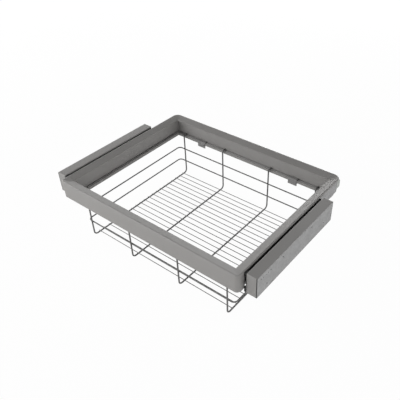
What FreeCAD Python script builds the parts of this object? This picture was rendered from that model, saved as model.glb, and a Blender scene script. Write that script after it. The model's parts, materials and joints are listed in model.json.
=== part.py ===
"""Pull-out wire drawer: a metal frame and wire basket on two telescopic ball slides.

Millimetres, +Z up. +X is to the right as the user faces the drawer, and the
drawer pulls out towards -Y. The origin is under the middle of the basket, on
the surface that the basket stands on. Every side piece is drawn for the right
hand side and mirrored for the left.
"""
import FreeCAD
import Part
import math
import os

V = FreeCAD.Vector

# Frame
frame_width = 630.0
frame_depth = 495.0
front_height = 55.0
front_corner_radius = 12.0
back_corner_radius = 20.0
rail_width = 26.0
rail_wall = 1.8
rail_edge_radius = 4.0
rail_slope_drop = 6.9
front_return = 6.0
side_lip_height = 5.0
side_recess = 8.7
web_inset = 18.0
groove_drop = 58.5
inner_lip_inset = 27.3
inner_lip_top = 54.5
inner_lip_bottom = 63.7
inner_lip_bevel = 0.5
core_start = 16.0
spigot_length = 22.0
spigot_clearance = 0.3
spigot_top = 12.0
spigot_bottom = 44.0

# Basket
rib_diameter = 4.5
ring_diameter = 4.0
rim_diameter = 5.0
floor_wire_diameter = 2.2
basket_depth = 198.8
rib_spacing_inner = 180.0
rib_spacing_outer = 512.5
rib_bend = 12.0
rib_top_bend = 4.0
rib_end_reach = 1.5
upper_ring_drop = 101.6
lower_ring_drop = 149.6
ring_width = 554.0
ring_corner = 12.0
rim_inset = 21.7
rim_corner = 6.0
basket_play = 0.3
rib_lip_gap = 4.4
floor_wire_count = 21

# Basket clips
clip_spacing = 357.0
clip_shift = -5.5
clip_width = 31.0
clip_thickness = 1.8
clip_drop = 73.5
clip_top_reach = 9.0
clip_foot_reach = 6.0
clip_edge_radius = 0.8
clip_screw_offset = 11.0
clip_screw_rise = 1.6
clip_screw_diameter = 2.5
clip_screw_head = 5.0
clip_screw_head_height = 1.4
clip_screw_length = 7.0

# Side housings
housing_length = 356.0
housing_height = 65.0
housing_thickness = 30.0
housing_setback = 21.0
housing_gap = 7.0
housing_wall = 1.5
housing_edge_radius = 2.5
plate_thickness = 1.5
plate_gap = 0.4
cabinet_hole_diameter = 4.5
upper_hole_spacing = 136.0
lower_hole_spacing = 272.0
upper_hole_drop = 15.3
lower_hole_drop = 46.5
access_hole_diameter = 7.5
row_hole_diameter = 3.0
row_hole_count = 5
row_hole_pitch = 10.0
row_hole_start = 17.0

# Telescopic slide
slide_thickness = 12.7
slide_height = 45.0
slide_top_drop = 7.0
slide_setback = 13.0
slide_back_margin = 2.0
moving_member_shortfall = 6.0
cabinet_sheet = 1.4
moving_sheet = 1.2
ball_diameter = 3.0
ball_play = 0.3
race_centre = 6.0
member_play = 0.7
member_tip_space = 2.2
race_lip = 1.8
cage_length = 150.0
cage_width = 4.8
cage_thickness = 1.6
cage_hole_play = 0.15
balls_per_row = 4
ball_pitch = 40.0
slide_travel = 330.0

# Slide carrier on the frame and the slide's fixings
carrier_sheet = 1.5
carrier_front_gap = 0.5
carrier_end_margin = 12.0
end_cap_length = 18.5
end_cap_top_slope = 12.0
end_cap_top_drop = 13.0
end_cap_nose_bottom = 11.0
end_cap_nose_radius = 3.0
end_cap_foot_slope = 3.0
bracket_width = 24.0
bracket_flange = 17.0
bracket_drop = 20.0
bracket_pitch = 102.0
bracket_count = 3
rivet_diameter = 4.0
rivet_head_diameter = 7.0
rivet_head_height = 1.2
rivet_clearance = 0.1
member_rivet_positions = (-180.0, -52.5, 75.0)
carrier_screw_positions = (-150.0, -25.0, 100.0)
carrier_screw_length = 9.0

# Buffers
front_buffer_length = 12.0
front_buffer_top = 2.0
front_buffer_bottom = 64.0
front_buffer_play = 0.6
buffer_member_play = 1.5
rear_buffer_length = 5.0
rear_buffer_play = 0.3

# Places worked out from the sizes above
half_width = frame_width / 2
half_depth = frame_depth / 2
rib_radius = rib_diameter / 2
ring_radius = ring_diameter / 2
rim_radius = rim_diameter / 2
top_z = rib_radius + basket_depth
inner_corner_x = half_width - rail_width
inner_corner_y = half_depth - rail_width
web_x = half_width - side_recess
core_outer = side_recess + rail_wall / 2
core_inner = web_inset - rail_wall / 2
rim_z = top_z - groove_drop + basket_play + rim_radius
rib_top_z = rim_z + rim_radius + rib_radius
lip_face_y = half_depth - inner_lip_inset
rib_y = lip_face_y - rib_lip_gap - rib_radius
clip_face_y = lip_face_y - basket_play - clip_thickness
clip_screw_z = top_z - inner_lip_bottom + clip_screw_rise
housing_front_y = -half_depth + housing_setback
housing_back_y = housing_front_y + housing_length
housing_middle_y = (housing_front_y + housing_back_y) / 2
housing_inner_x = half_width + housing_gap
housing_outer_x = housing_inner_x + housing_thickness
slide_inner_x = housing_inner_x - slide_thickness
slide_centre_z = top_z - slide_top_drop - slide_height / 2
slide_front_y = housing_front_y + slide_setback
cabinet_member_length = housing_length - slide_setback - slide_back_margin
moving_member_length = cabinet_member_length - moving_member_shortfall
moving_middle_y = slide_front_y + moving_member_length / 2
race_x = housing_inner_x - race_centre
race_gap = ball_diameter + 2 * ball_play
cabinet_inner_half = slide_height / 2 - cabinet_sheet
middle_outer_half = cabinet_inner_half - race_gap
middle_inner_half = middle_outer_half - moving_sheet
drawer_outer_half = middle_inner_half - race_gap
member_tip_x = slide_inner_x + member_tip_space


def box(x0, x1, y0, y1, z0, z1):
    """A block between two opposite corners."""
    return Part.makeBox(x1 - x0, y1 - y0, z1 - z0, V(x0, y0, z0))


def section(points):
    """A flat face from corner points, closed by itself."""
    return Part.Face(Part.makePolygon(points + [points[0]]))


def bar_along_y(profile, y0, length):
    """Carry a list of (x, z) points along Y."""
    return section([V(x, y0, z) for x, z in profile]).extrude(V(0, length, 0))


def mirrored(shape):
    """The left hand copy of a right hand piece."""
    return shape.mirror(V(0, 0, 0), V(1, 0, 0))


def cylinder_x(radius, x0, x1, y, z):
    """A round bar along X."""
    return Part.makeCylinder(radius, x1 - x0, V(x0, y, z), V(1, 0, 0))


def save(name, shape):
    """Write one node and print how many solids and faces it has."""
    shape.exportStep("parts/" + name + ".step")
    print(name, "solids", len(shape.Solids), "faces", len(shape.Faces), "valid", shape.isValid())


def save_pair(name, shape):
    """Write a right hand node and its mirrored left hand node."""
    save("right_" + name, shape)
    save("left_" + name, mirrored(shape))


def rounded_path(points, radii, closed=False):
    """A wire of straight runs joined by tangent arcs at the inner points."""
    count = len(points)
    corners = range(count) if closed else range(1, count - 1)
    starts = dict()
    ends = dict()
    edges = []
    for i in corners:
        before = (points[i - 1] - points[i]).normalize()
        after = (points[(i + 1) % count] - points[i]).normalize()
        turn = math.pi - before.getAngle(after)
        back = radii[i] * math.tan(turn / 2)
        middle = (before + after).normalize() * (radii[i] / math.cos(turn / 2) - radii[i])
        starts[i] = points[i] + before * back
        ends[i] = points[i] + after * back
        edges.append((i, Part.Arc(starts[i], points[i] + middle, ends[i]).toShape()))
    runs = []
    for i in range(count if closed else count - 1):
        run_start = ends.get(i, points[i])
        run_end = starts.get((i + 1) % count, points[(i + 1) % count])
        runs.append((i + 0.5, Part.LineSegment(run_start, run_end).toShape()))
    ordered = [edge for place, edge in sorted(edges + runs, key=lambda item: item[0])]
    return Part.Wire(ordered)


def tube(path, radius):
    """A round wire swept along a path, from the path's first point."""
    first = path.Edges[0]
    start = first.valueAt(first.FirstParameter)
    heading = first.tangentAt(first.FirstParameter)
    ring = Part.Wire(Part.makeCircle(radius, start, heading))
    return path.makePipeShell([ring], True, False)


def closed_loop(half_x, half_y, z, corner, radius):
    """A wire rectangle with round corners, from the middle of its front run."""
    points = [V(-half_x, -half_y, z), V(half_x, -half_y, z), V(half_x, half_y, z), V(-half_x, half_y, z)]
    path = rounded_path(points, [corner] * len(points), closed=True)
    return tube(path, radius)


# Frame sections: u runs inwards from the outer face, w is the height from the top

def slope(u):
    """Height of the sloping top at a distance from the outer face."""
    return -rail_slope_drop * (u - rail_edge_radius) / (rail_width - rail_edge_radius)


def outline_wire(place, drop_at_outside, rest):
    """A section that starts up the outer face and over its rounded edge."""
    radius = rail_edge_radius
    low = radius * (1 - math.sqrt(0.5))
    points = [place(u, w) for u, w in [(radius, 0.0)] + rest]
    edges = [Part.LineSegment(place(0, -drop_at_outside), place(0, -radius)).toShape()]
    edges.append(Part.Arc(place(0, -radius), place(low, -low), points[0]).toShape())
    for first, second in zip(points, points[1:] + [place(0, -drop_at_outside)]):
        edges.append(Part.LineSegment(first, second).toShape())
    return Part.Face(Part.Wire(edges))


def inner_side(with_lip):
    """From the top's inner edge down the web to the groove that holds the basket."""
    points = [
        (rail_width, slope(rail_width)),
        (rail_width, slope(rail_width) - rail_wall),
        (web_inset, slope(web_inset) - rail_wall),
        (web_inset, -groove_drop),
    ]
    if not with_lip:
        return points + [(rail_width, -groove_drop), (rail_width, -groove_drop - rail_wall)]
    lip_back = inner_lip_inset - rail_wall
    bevel = inner_lip_bevel
    return points + [
        (lip_back, -groove_drop),
        (lip_back, -inner_lip_top - bevel),
        (lip_back + bevel, -inner_lip_top),
        (inner_lip_inset - bevel, -inner_lip_top),
        (inner_lip_inset, -inner_lip_top - bevel),
        (inner_lip_inset, -inner_lip_bottom),
        (lip_back, -inner_lip_bottom),
        (lip_back, -groove_drop - rail_wall),
    ]


def front_section(place, with_lip=True):
    """Tall fascia: outer wall, sloping top, web, groove and open underside."""
    wall = rail_wall
    rest = inner_side(with_lip) + [
        (web_inset - wall, -groove_drop - wall),
        (web_inset - wall, slope(web_inset) - wall),
        (wall, -wall - rail_edge_radius / 2),
        (wall, wall - front_height),
        (wall + front_return, wall - front_height),
        (wall + front_return, -front_height),
    ]
    return outline_wire(place, front_height, rest)


def box_section(place, with_lip=True):
    """Side and back rail: short outer lip over a set back closed box."""
    wall = rail_wall
    under_lip = -wall - rail_edge_radius / 2
    rest = inner_side(with_lip) + [
        (side_recess, -groove_drop - wall),
        (side_recess, under_lip),
        (wall, under_lip),
        (wall, -side_lip_height),
    ]
    outside = outline_wire(place, side_lip_height, rest)
    hollow = section([
        place(side_recess + wall, -groove_drop),
        place(web_inset - wall, -groove_drop),
        place(web_inset - wall, slope(web_inset) - wall),
        place(side_recess + wall, slope(side_recess) - 2 * wall),
    ])
    return outside.cut(hollow).Faces[0]


def front_rail():
    """The fascia between its two corner pieces."""
    face = front_section(lambda u, w: V(-inner_corner_x, u - half_depth, top_z + w))
    return face.extrude(V(2 * inner_corner_x, 0, 0))


def back_rail():
    """The back rail between its two corner pieces."""
    face = box_section(lambda u, w: V(-inner_corner_x, half_depth - u, top_z + w))
    return face.extrude(V(2 * inner_corner_x, 0, 0))


def side_rail():
    """A side rail, its lip cut back where the front and back lips run."""
    face = box_section(lambda u, w: V(half_width - u, -inner_corner_y, top_z + w))
    rail = face.extrude(V(0, 2 * inner_corner_y, 0))
    reach = inner_lip_inset - rail_width
    for y0 in (-inner_corner_y, inner_corner_y - reach):
        rail = rail.cut(box(
            inner_corner_x - reach, inner_corner_x, y0, y0 + reach,
            top_z - inner_lip_bottom, top_z - inner_lip_top))
    for y in carrier_screw_positions:
        radius = rivet_diameter / 2 + rivet_clearance
        rail = rail.cut(cylinder_x(radius, web_x - rail_wall, web_x, y, slide_centre_z))
    return rail


def corner_block(u0, u1, v0, v1, low_drop, high_drop, towards_y):
    """A block in a corner: u from the side face, v from the front or back face."""
    block = box(
        half_width - u1, half_width - u0, half_depth - v1, half_depth - v0,
        top_z - low_drop, top_z - high_drop)
    return block if towards_y > 0 else block.mirror(V(0, 0, 0), V(0, 1, 0))


def turned_corner(section_maker, radius, towards_y):
    """The outer part of a section turned a quarter about the corner's axis."""
    axis_y = towards_y * (half_depth - radius)
    face = section_maker(lambda u, w: V(half_width - u, axis_y, top_z + w), False)
    keep = box(
        half_width - radius, half_width, axis_y - rail_wall, axis_y + rail_wall,
        top_z - inner_lip_bottom, top_z)
    outer = face.common(keep).Faces[0]
    return outer.revolve(V(half_width - radius, axis_y, 0), V(0, 0, 1), 90 * towards_y)


def corner_piece(section_maker, radius, towards_y):
    """Right hand corner: turned outside, short runs to both rails and two tongues."""
    run = rail_width - radius
    side_end = section_maker(
        lambda u, w: V(half_width - u, towards_y * inner_corner_y, top_z + w), False)
    cross_end = section_maker(
        lambda u, w: V(inner_corner_x, towards_y * (half_depth - u), top_z + w), False)
    parts = [side_end.extrude(V(0, towards_y * run, 0)), cross_end.extrude(V(run, 0, 0))]
    inner = core_inner - rail_wall / 2 - spigot_clearance
    outer = core_outer + rail_wall / 2 + spigot_clearance
    end = rail_width + spigot_length
    drops = (spigot_bottom, spigot_top, towards_y)
    parts.append(corner_block(core_outer, core_inner, core_start, rail_width, *drops))
    parts.append(corner_block(core_start, rail_width, core_outer, core_inner, *drops))
    parts.append(corner_block(outer, inner, core_start, end, *drops))
    parts.append(corner_block(core_start, end, outer, inner, *drops))
    return turned_corner(section_maker, radius, towards_y).fuse(parts).removeSplitter()


# Basket

def rib(x):
    """One rib: from the rim over the lip, down, along the floor and up again."""
    y_end = half_depth - rim_inset + rib_end_reach
    z_floor = rib_radius
    points = [
        V(x, -y_end, rib_top_z), V(x, -rib_y, rib_top_z), V(x, -rib_y, z_floor),
        V(x, rib_y, z_floor), V(x, rib_y, rib_top_z), V(x, y_end, rib_top_z),
    ]
    radii = [0, rib_top_bend, rib_bend, rib_bend, rib_top_bend, 0]
    return tube(rounded_path(points, radii), rib_radius)


def ring(drop):
    """A basket ring, welded to the inside of the ribs."""
    half_y = rib_y - rib_radius - ring_radius
    return closed_loop(ring_width / 2, half_y, top_z - drop, ring_corner, ring_radius)


def rim():
    """The basket's rim wire, which lies in the frame's groove."""
    half_x = half_width - rim_inset
    half_y = half_depth - rim_inset
    return closed_loop(half_x, half_y, rim_z, rim_corner, rim_radius)


def floor_wires():
    """Thin wires across the ribs, evenly spaced between the ribs' uprights."""
    radius = floor_wire_diameter / 2
    reach = rib_spacing_outer / 2 + rib_radius
    z = rib_diameter + radius
    pitch = 2 * rib_y / (floor_wire_count + 1)
    wires = [cylinder_x(radius, -reach, reach, -rib_y + (i + 1) * pitch, z)
             for i in range(floor_wire_count)]
    return Part.makeCompound(wires)


def clip(x):
    """A bent strip over the rim wire and down round the back rail's lip."""
    sheet = clip_thickness
    front = clip_face_y
    inside = front + sheet
    top = rim_z + rim_radius + basket_play
    foot = top_z - inner_lip_bottom - basket_play
    low = top_z - clip_drop
    profile = [
        (front, low), (inside, low), (inside, foot - sheet),
        (inside + clip_foot_reach, foot - sheet), (inside + clip_foot_reach, foot), (inside, foot),
        (inside, top), (inside + clip_top_reach, top), (inside + clip_top_reach, top + sheet),
        (front, top + sheet),
    ]
    half = clip_width / 2
    piece = section([V(x - half, y, z) for y, z in profile]).extrude(V(clip_width, 0, 0))
    front_edges = [e for e in piece.Edges if e.BoundBox.YMax < front + sheet / 2]
    uprights = [e for e in front_edges if e.BoundBox.ZLength > sheet]
    piece = piece.makeFillet(clip_edge_radius, uprights)
    hole = Part.makeCylinder(
        clip_screw_diameter / 2 + rivet_clearance, sheet,
        V(x + clip_screw_offset, front, clip_screw_z), V(0, 1, 0))
    return piece.cut(hole)


def clip_screw(x):
    """Pan head screw through a clip into the lip."""
    length = clip_screw_length + clip_screw_head_height
    start = V(x + clip_screw_offset, clip_face_y - clip_screw_head_height, clip_screw_z)
    head = Part.makeCylinder(clip_screw_head / 2, clip_screw_head_height, start, V(0, 1, 0))
    shank = Part.makeCylinder(clip_screw_diameter / 2, length, start, V(0, 1, 0))
    return head.fuse(shank).removeSplitter()


def clip_places():
    """Middles of the two clips along a rail, which lie a little to the left."""
    return [clip_shift - clip_spacing / 2, clip_shift + clip_spacing / 2]


def four_places(maker):
    """Two pieces at the back and the same two mirrored at the front."""
    back = [maker(x) for x in clip_places()]
    front = [piece.mirror(V(0, 0, 0), V(0, 1, 0)) for piece in back]
    return Part.makeCompound(back + front)


def screw_holes_in_lip(rail, sign):
    """Pilot holes for the clip screws in the front or back lip."""
    radius = clip_screw_diameter / 2 + rivet_clearance
    for x in clip_places():
        start = V(x + clip_screw_offset, sign * lip_face_y, clip_screw_z)
        rail = rail.cut(Part.makeCylinder(radius, rail_wall, start, V(0, sign, 0)))
    return rail


# Telescopic slide, right hand side

def cabinet_member():
    """Outer channel on the housing, open towards the frame, with curled lips."""
    x0 = member_tip_x
    x1 = housing_inner_x
    half = slide_height / 2
    inner = cabinet_inner_half
    sheet = cabinet_sheet
    profile = [
        (x1, half), (x0, half), (x0, inner - race_lip), (x0 + sheet, inner - race_lip),
        (x0 + sheet, inner), (x1 - sheet, inner),
    ]
    profile = profile + [(x, -z) for x, z in reversed(profile)]
    profile = [(x, slide_centre_z + z) for x, z in profile]
    return bar_along_y(profile, slide_front_y, cabinet_member_length)


def middle_member():
    """Middle channel that runs between the two rows of balls."""
    x0 = member_tip_x
    x1 = housing_inner_x - cabinet_sheet - member_play
    outer = middle_outer_half
    inner = middle_inner_half
    sheet = moving_sheet
    profile = [
        (x1, outer), (x0, outer), (x0, inner - moving_sheet), (x0 + sheet, inner - moving_sheet),
        (x0 + sheet, inner), (x1 - sheet, inner),
    ]
    profile = profile + [(x, -z) for x, z in reversed(profile)]
    profile = [(x, slide_centre_z + z) for x, z in profile]
    return bar_along_y(profile, slide_front_y, moving_member_length)


def drawer_member():
    """Inner channel on the frame, open towards the housing."""
    x0 = slide_inner_x
    x1 = housing_inner_x - cabinet_sheet - 2 * member_play - moving_sheet
    outer = drawer_outer_half
    inner = outer - moving_sheet
    profile = [(x0, outer), (x1, outer), (x1, inner), (x0 + moving_sheet, inner)]
    profile = profile + [(x, -z) for x, z in reversed(profile)]
    profile = [(x, slide_centre_z + z) for x, z in profile]
    return bar_along_y(profile, slide_front_y, moving_member_length)


def ball_row_heights(outer_half):
    """Heights of the upper and lower ball rows outside a channel."""
    offset = outer_half + race_gap / 2
    return (slide_centre_z + offset, slide_centre_z - offset)


def ball_places():
    """Ball positions along the slide at rest."""
    first = moving_middle_y - (balls_per_row - 1) / 2 * ball_pitch
    return [first + i * ball_pitch for i in range(balls_per_row)]


def balls(outer_half):
    """Two rows of balls."""
    spheres = [Part.makeSphere(ball_diameter / 2, V(race_x, y, z))
               for z in ball_row_heights(outer_half) for y in ball_places()]
    return Part.makeCompound(spheres)


def cages(outer_half):
    """Two strips with a hole for each ball."""
    strips = []
    for z in ball_row_heights(outer_half):
        low = z - cage_thickness / 2
        strip = box(
            race_x - cage_width / 2, race_x + cage_width / 2,
            moving_middle_y - cage_length / 2, moving_middle_y + cage_length / 2,
            low, low + cage_thickness)
        for y in ball_places():
            radius = ball_diameter / 2 + cage_hole_play
            strip = strip.cut(Part.makeCylinder(radius, cage_thickness, V(race_x, y, low)))
        strips.append(strip)
    return Part.makeCompound(strips)


def rivet(x_flush, x_end, y, z, sign):
    """Countersunk rivet or screw: its flush head tapers into the shank."""
    start = V(x_flush, y, z)
    heading = V(sign, 0, 0)
    radius = rivet_diameter / 2
    cone = Part.makeCone(rivet_head_diameter / 2, radius, moving_sheet, start, heading)
    shank = Part.makeCylinder(radius, abs(x_end - x_flush), start, heading)
    return cone.fuse(shank).removeSplitter()


def rivet_hole(x_flush, x_end, y, z, sign):
    """The space of a flush rivet with its clearance."""
    gap = rivet_clearance
    start = V(x_flush, y, z)
    heading = V(sign, 0, 0)
    radius = rivet_diameter / 2 + gap
    cone = Part.makeCone(rivet_head_diameter / 2 + gap, radius, moving_sheet, start, heading)
    shank = Part.makeCylinder(radius, abs(x_end - x_flush) + gap, start, heading)
    return cone.fuse(shank)


def bracket_places():
    """Places of the housing brackets along the slide."""
    first = housing_middle_y - (bracket_count - 1) / 2 * bracket_pitch
    return [first + i * bracket_pitch for i in range(bracket_count)]


def cabinet_rivets():
    """Rivets through the cabinet member, the cover and the brackets."""
    x_flush = housing_inner_x - cabinet_sheet
    x_clinch = housing_inner_x + 2 * housing_wall
    x_end = x_clinch + rivet_head_height
    pieces = []
    for y in bracket_places():
        body = rivet(x_flush, x_end, y, slide_centre_z, 1)
        head = cylinder_x(rivet_head_diameter / 2, x_clinch, x_end, y, slide_centre_z)
        pieces.append(body.fuse(head).removeSplitter())
    return Part.makeCompound(pieces)


def cut_rivet_holes(shape, x_flush, x_end, places, sign):
    """Cut the holes of a row of flush rivets at the slide's centre height."""
    for y in places:
        shape = shape.cut(rivet_hole(x_flush, x_end, y, slide_centre_z, sign))
    return shape


def drawer_rivets():
    """Rivets through the drawer member and the carrier's web."""
    x_flush = slide_inner_x + moving_sheet
    x_clinch = slide_inner_x - carrier_sheet
    x_end = x_clinch - rivet_head_height
    pieces = []
    for y in member_rivet_positions:
        body = rivet(x_flush, x_end, y, slide_centre_z, -1)
        head = cylinder_x(rivet_head_diameter / 2, x_end, x_clinch, y, slide_centre_z)
        pieces.append(body.fuse(head).removeSplitter())
    return Part.makeCompound(pieces)


def carrier_screws():
    """Flush screws through the carrier into the side rail."""
    pieces = [rivet(slide_inner_x, slide_inner_x - carrier_screw_length, y, slide_centre_z, -1)
              for y in carrier_screw_positions]
    return Part.makeCompound(pieces)


def carrier_back_y():
    """Back end of the slide carrier, before its end cap."""
    return half_depth - carrier_end_margin


def carrier():
    """Channel on the side rail that the drawer member is riveted to."""
    y0 = -inner_corner_y + carrier_front_gap
    x0 = web_x
    x1 = slide_inner_x
    half = slide_height / 2
    inner = half - carrier_sheet
    x_web = x1 - carrier_sheet
    profile = [(x0, half), (x1, half), (x1, -half), (x0, -half)]
    profile = profile + [(x0, -inner), (x_web, -inner), (x_web, inner), (x0, inner)]
    profile = [(x, slide_centre_z + z) for x, z in profile]
    shape = bar_along_y(profile, y0, carrier_back_y() - y0)
    clinch = slide_inner_x - carrier_sheet
    for y in member_rivet_positions:
        hole = cylinder_x(rivet_diameter / 2 + rivet_clearance, clinch, slide_inner_x, y, slide_centre_z)
        shape = shape.cut(hole)
    return cut_rivet_holes(shape, slide_inner_x, clinch, carrier_screw_positions, -1)


def carrier_end_cap():
    """Plastic nose on the carrier's back end, sloped above and stepped below."""
    y0 = carrier_back_y()
    y1 = y0 + end_cap_length
    low = slide_centre_z - slide_height / 2
    high = low + slide_height
    step = low + end_cap_nose_bottom
    side = [
        V(web_x, y0, low), V(web_x, y0, high), V(web_x, y1 - end_cap_top_slope, high),
        V(web_x, y1, high - end_cap_top_drop), V(web_x, y1, step),
        V(web_x, y0 + end_cap_foot_slope, step),
    ]
    outer = slide_inner_x + member_play
    plate = section(side).extrude(V(outer - web_x, 0, 0))
    radius = end_cap_nose_radius
    tip = [e for e in plate.Edges if e.BoundBox.YMin > y1 - radius]
    nose = [e for e in tip if e.BoundBox.ZLength < radius]
    return plate.makeFillet(radius, nose)


# Housing, right hand side

def cover():
    """Painted tray: top, bottom, both ends and the wall that carries the slide."""
    outer = box(
        housing_inner_x, housing_outer_x, housing_front_y, housing_back_y,
        top_z - housing_height, top_z)
    bent_edges = [e for e in outer.Edges if e.BoundBox.XMin < housing_inner_x + housing_wall]
    outer = outer.makeFillet(housing_edge_radius, bent_edges)
    wall = housing_wall
    hollow = box(
        housing_inner_x + wall, housing_outer_x, housing_front_y + wall, housing_back_y - wall,
        top_z - housing_height + wall, top_z - wall)
    shape = outer.cut(hollow)
    for y in bracket_places():
        radius = rivet_diameter / 2 + rivet_clearance
        shape = shape.cut(cylinder_x(radius, housing_inner_x, housing_inner_x + wall, y, slide_centre_z))
    return cut_access_holes(shape, housing_inner_x, housing_inner_x + wall)


def cabinet_hole_places():
    """(y, z) of the four screw holes to the cabinet."""
    places = []
    rows = ((upper_hole_spacing, upper_hole_drop), (lower_hole_spacing, lower_hole_drop))
    for spacing, drop in rows:
        places.append((housing_middle_y - spacing / 2, top_z - drop))
        places.append((housing_middle_y + spacing / 2, top_z - drop))
    return places


def cut_access_holes(shape, x0, x1):
    """Driver holes in line with the cabinet screws."""
    for y, z in cabinet_hole_places():
        shape = shape.cut(cylinder_x(access_hole_diameter / 2, x0, x1, y, z))
    return shape


def wall_plate():
    """Zinc plate that closes the tray and screws to the cabinet side."""
    inset = housing_wall + plate_gap
    x0 = housing_outer_x - plate_thickness
    plate = box(
        x0, housing_outer_x, housing_front_y + inset, housing_back_y - inset,
        top_z - housing_height + inset, top_z - inset)
    for y, z in cabinet_hole_places():
        plate = plate.cut(cylinder_x(cabinet_hole_diameter / 2, x0, housing_outer_x, y, z))
    for i in range(row_hole_count):
        y = housing_front_y + row_hole_start + i * row_hole_pitch
        hole = cylinder_x(row_hole_diameter / 2, x0, housing_outer_x, y, top_z - upper_hole_drop)
        plate = plate.cut(hole)
    return plate


def brackets():
    """Bent spacers between the wall plate and the tray's inner wall."""
    wall = housing_wall
    x0 = housing_inner_x + wall
    x1 = housing_outer_x - plate_thickness
    high = top_z - bracket_drop
    low = high - bracket_flange
    profile = [
        (x0, low), (x0, high), (x1, high), (x1, low),
        (x1 - wall, low), (x1 - wall, high - wall), (x0 + wall, high - wall), (x0 + wall, low),
    ]
    pieces = []
    for y in bracket_places():
        piece = bar_along_y(profile, y - bracket_width / 2, bracket_width)
        radius = rivet_diameter / 2 + rivet_clearance
        pieces.append(piece.cut(cylinder_x(radius, x0, x0 + wall, y, slide_centre_z)))
    return Part.makeCompound(pieces)


def front_buffer():
    """Black end piece round the mouth of the slide."""
    y0 = slide_front_y - front_buffer_length
    y1 = slide_front_y
    x0 = half_width + front_buffer_play
    x1 = housing_inner_x
    throat = middle_outer_half + buffer_member_play
    block = box(x0, x1, y0, y1, top_z - front_buffer_bottom, top_z - front_buffer_top)
    mouth = box(x0, x1 - cabinet_sheet, y0, y1, slide_centre_z - throat, slide_centre_z + throat)
    return block.cut(mouth)


def rear_buffer():
    """Rubber block that the members meet when the drawer is shut."""
    y0 = slide_front_y + moving_member_length + rear_buffer_play
    x0 = member_tip_x + cabinet_sheet
    x1 = housing_inner_x - cabinet_sheet
    half = cabinet_inner_half
    return box(x0, x1, y0, y0 + rear_buffer_length, slide_centre_z - half, slide_centre_z + half)


def build_frame():
    """Rails and corner pieces."""
    save("front_rail", screw_holes_in_lip(front_rail(), -1))
    save("back_rail", screw_holes_in_lip(back_rail(), 1))
    save_pair("rail", side_rail())
    save_pair("front_corner", corner_piece(front_section, front_corner_radius, -1))
    save_pair("back_corner", corner_piece(box_section, back_corner_radius, 1))


def build_basket():
    """Welded wires and the clips that hold them."""
    save("basket_rim", rim())
    save("basket_upper_ring", ring(upper_ring_drop))
    save("basket_lower_ring", ring(lower_ring_drop))
    outer = rib_spacing_outer / 2
    inner = rib_spacing_inner / 2
    for number, x in enumerate((-outer, -inner, inner, outer), 1):
        save("basket_rib_%d" % number, rib(x))
    save("basket_floor_wires", floor_wires())
    save("basket_clips", four_places(clip))
    save("clip_screws", four_places(clip_screw))


def build_slides():
    """Both telescopic slides."""
    web = (housing_inner_x - cabinet_sheet, housing_inner_x)
    member = cut_rivet_holes(cabinet_member(), *web, bracket_places(), 1)
    save_pair("cabinet_member", cut_access_holes(member, *web))
    save_pair("middle_member", middle_member())
    inner = cut_rivet_holes(
        drawer_member(), slide_inner_x + moving_sheet, slide_inner_x, member_rivet_positions, -1)
    save_pair("drawer_member", inner)
    save_pair("outer_balls", balls(middle_outer_half))
    save_pair("outer_ball_cage", cages(middle_outer_half))
    save_pair("inner_balls", balls(drawer_outer_half))
    save_pair("inner_ball_cage", cages(drawer_outer_half))
    save_pair("slide_carrier", carrier())
    save_pair("carrier_end_cap", carrier_end_cap())
    save_pair("carrier_screws", carrier_screws())
    save_pair("drawer_rivets", drawer_rivets())


def build_housings():
    """Both side housings."""
    save_pair("housing_cover", cover())
    save_pair("wall_plate", wall_plate())
    save_pair("slide_brackets", brackets())
    save_pair("cabinet_rivets", cabinet_rivets())
    save_pair("front_buffer", front_buffer())
    save_pair("rear_buffer", rear_buffer())


os.makedirs("parts", exist_ok=True)
build_frame()
build_basket()
build_slides()
build_housings()
print("full travel of the drawer", slide_travel, "of the middle members", slide_travel / 2)
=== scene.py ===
# %% [markdown]
# # A pull-out wire drawer, dressed for its photograph
# The drawer is a pressed steel frame with a welded wire basket hung inside it. It runs out of two side
# housings on ball slides. The construction model already holds every piece in its true place, so this
# lesson adds what makes metal look like metal: soft edges, round wires, weld spots, screw recesses and
# the finishes. First the construction model is loaded as a fixed frame, in metres.

# %% Load the construction model
import bpy
import bmesh
import json
import math
import numpy as np
from mathutils import Matrix, Vector

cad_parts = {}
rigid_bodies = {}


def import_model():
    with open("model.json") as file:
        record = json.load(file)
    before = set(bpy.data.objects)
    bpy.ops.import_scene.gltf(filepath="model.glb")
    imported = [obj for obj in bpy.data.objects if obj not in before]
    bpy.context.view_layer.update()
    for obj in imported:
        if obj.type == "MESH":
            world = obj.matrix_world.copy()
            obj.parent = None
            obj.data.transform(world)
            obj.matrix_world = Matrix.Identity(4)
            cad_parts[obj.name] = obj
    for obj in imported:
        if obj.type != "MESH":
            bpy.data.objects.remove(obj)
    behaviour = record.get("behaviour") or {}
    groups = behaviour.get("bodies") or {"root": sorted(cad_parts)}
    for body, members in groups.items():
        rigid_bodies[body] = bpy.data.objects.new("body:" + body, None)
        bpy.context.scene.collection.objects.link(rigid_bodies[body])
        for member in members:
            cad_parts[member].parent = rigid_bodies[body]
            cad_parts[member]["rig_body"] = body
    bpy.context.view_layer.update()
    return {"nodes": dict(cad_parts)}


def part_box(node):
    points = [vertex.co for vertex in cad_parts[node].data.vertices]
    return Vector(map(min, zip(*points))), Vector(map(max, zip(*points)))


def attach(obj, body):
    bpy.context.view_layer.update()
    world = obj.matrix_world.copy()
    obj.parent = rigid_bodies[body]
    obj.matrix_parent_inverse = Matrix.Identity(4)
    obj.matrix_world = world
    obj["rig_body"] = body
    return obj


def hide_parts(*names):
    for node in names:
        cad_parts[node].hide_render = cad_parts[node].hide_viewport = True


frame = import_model()

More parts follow.
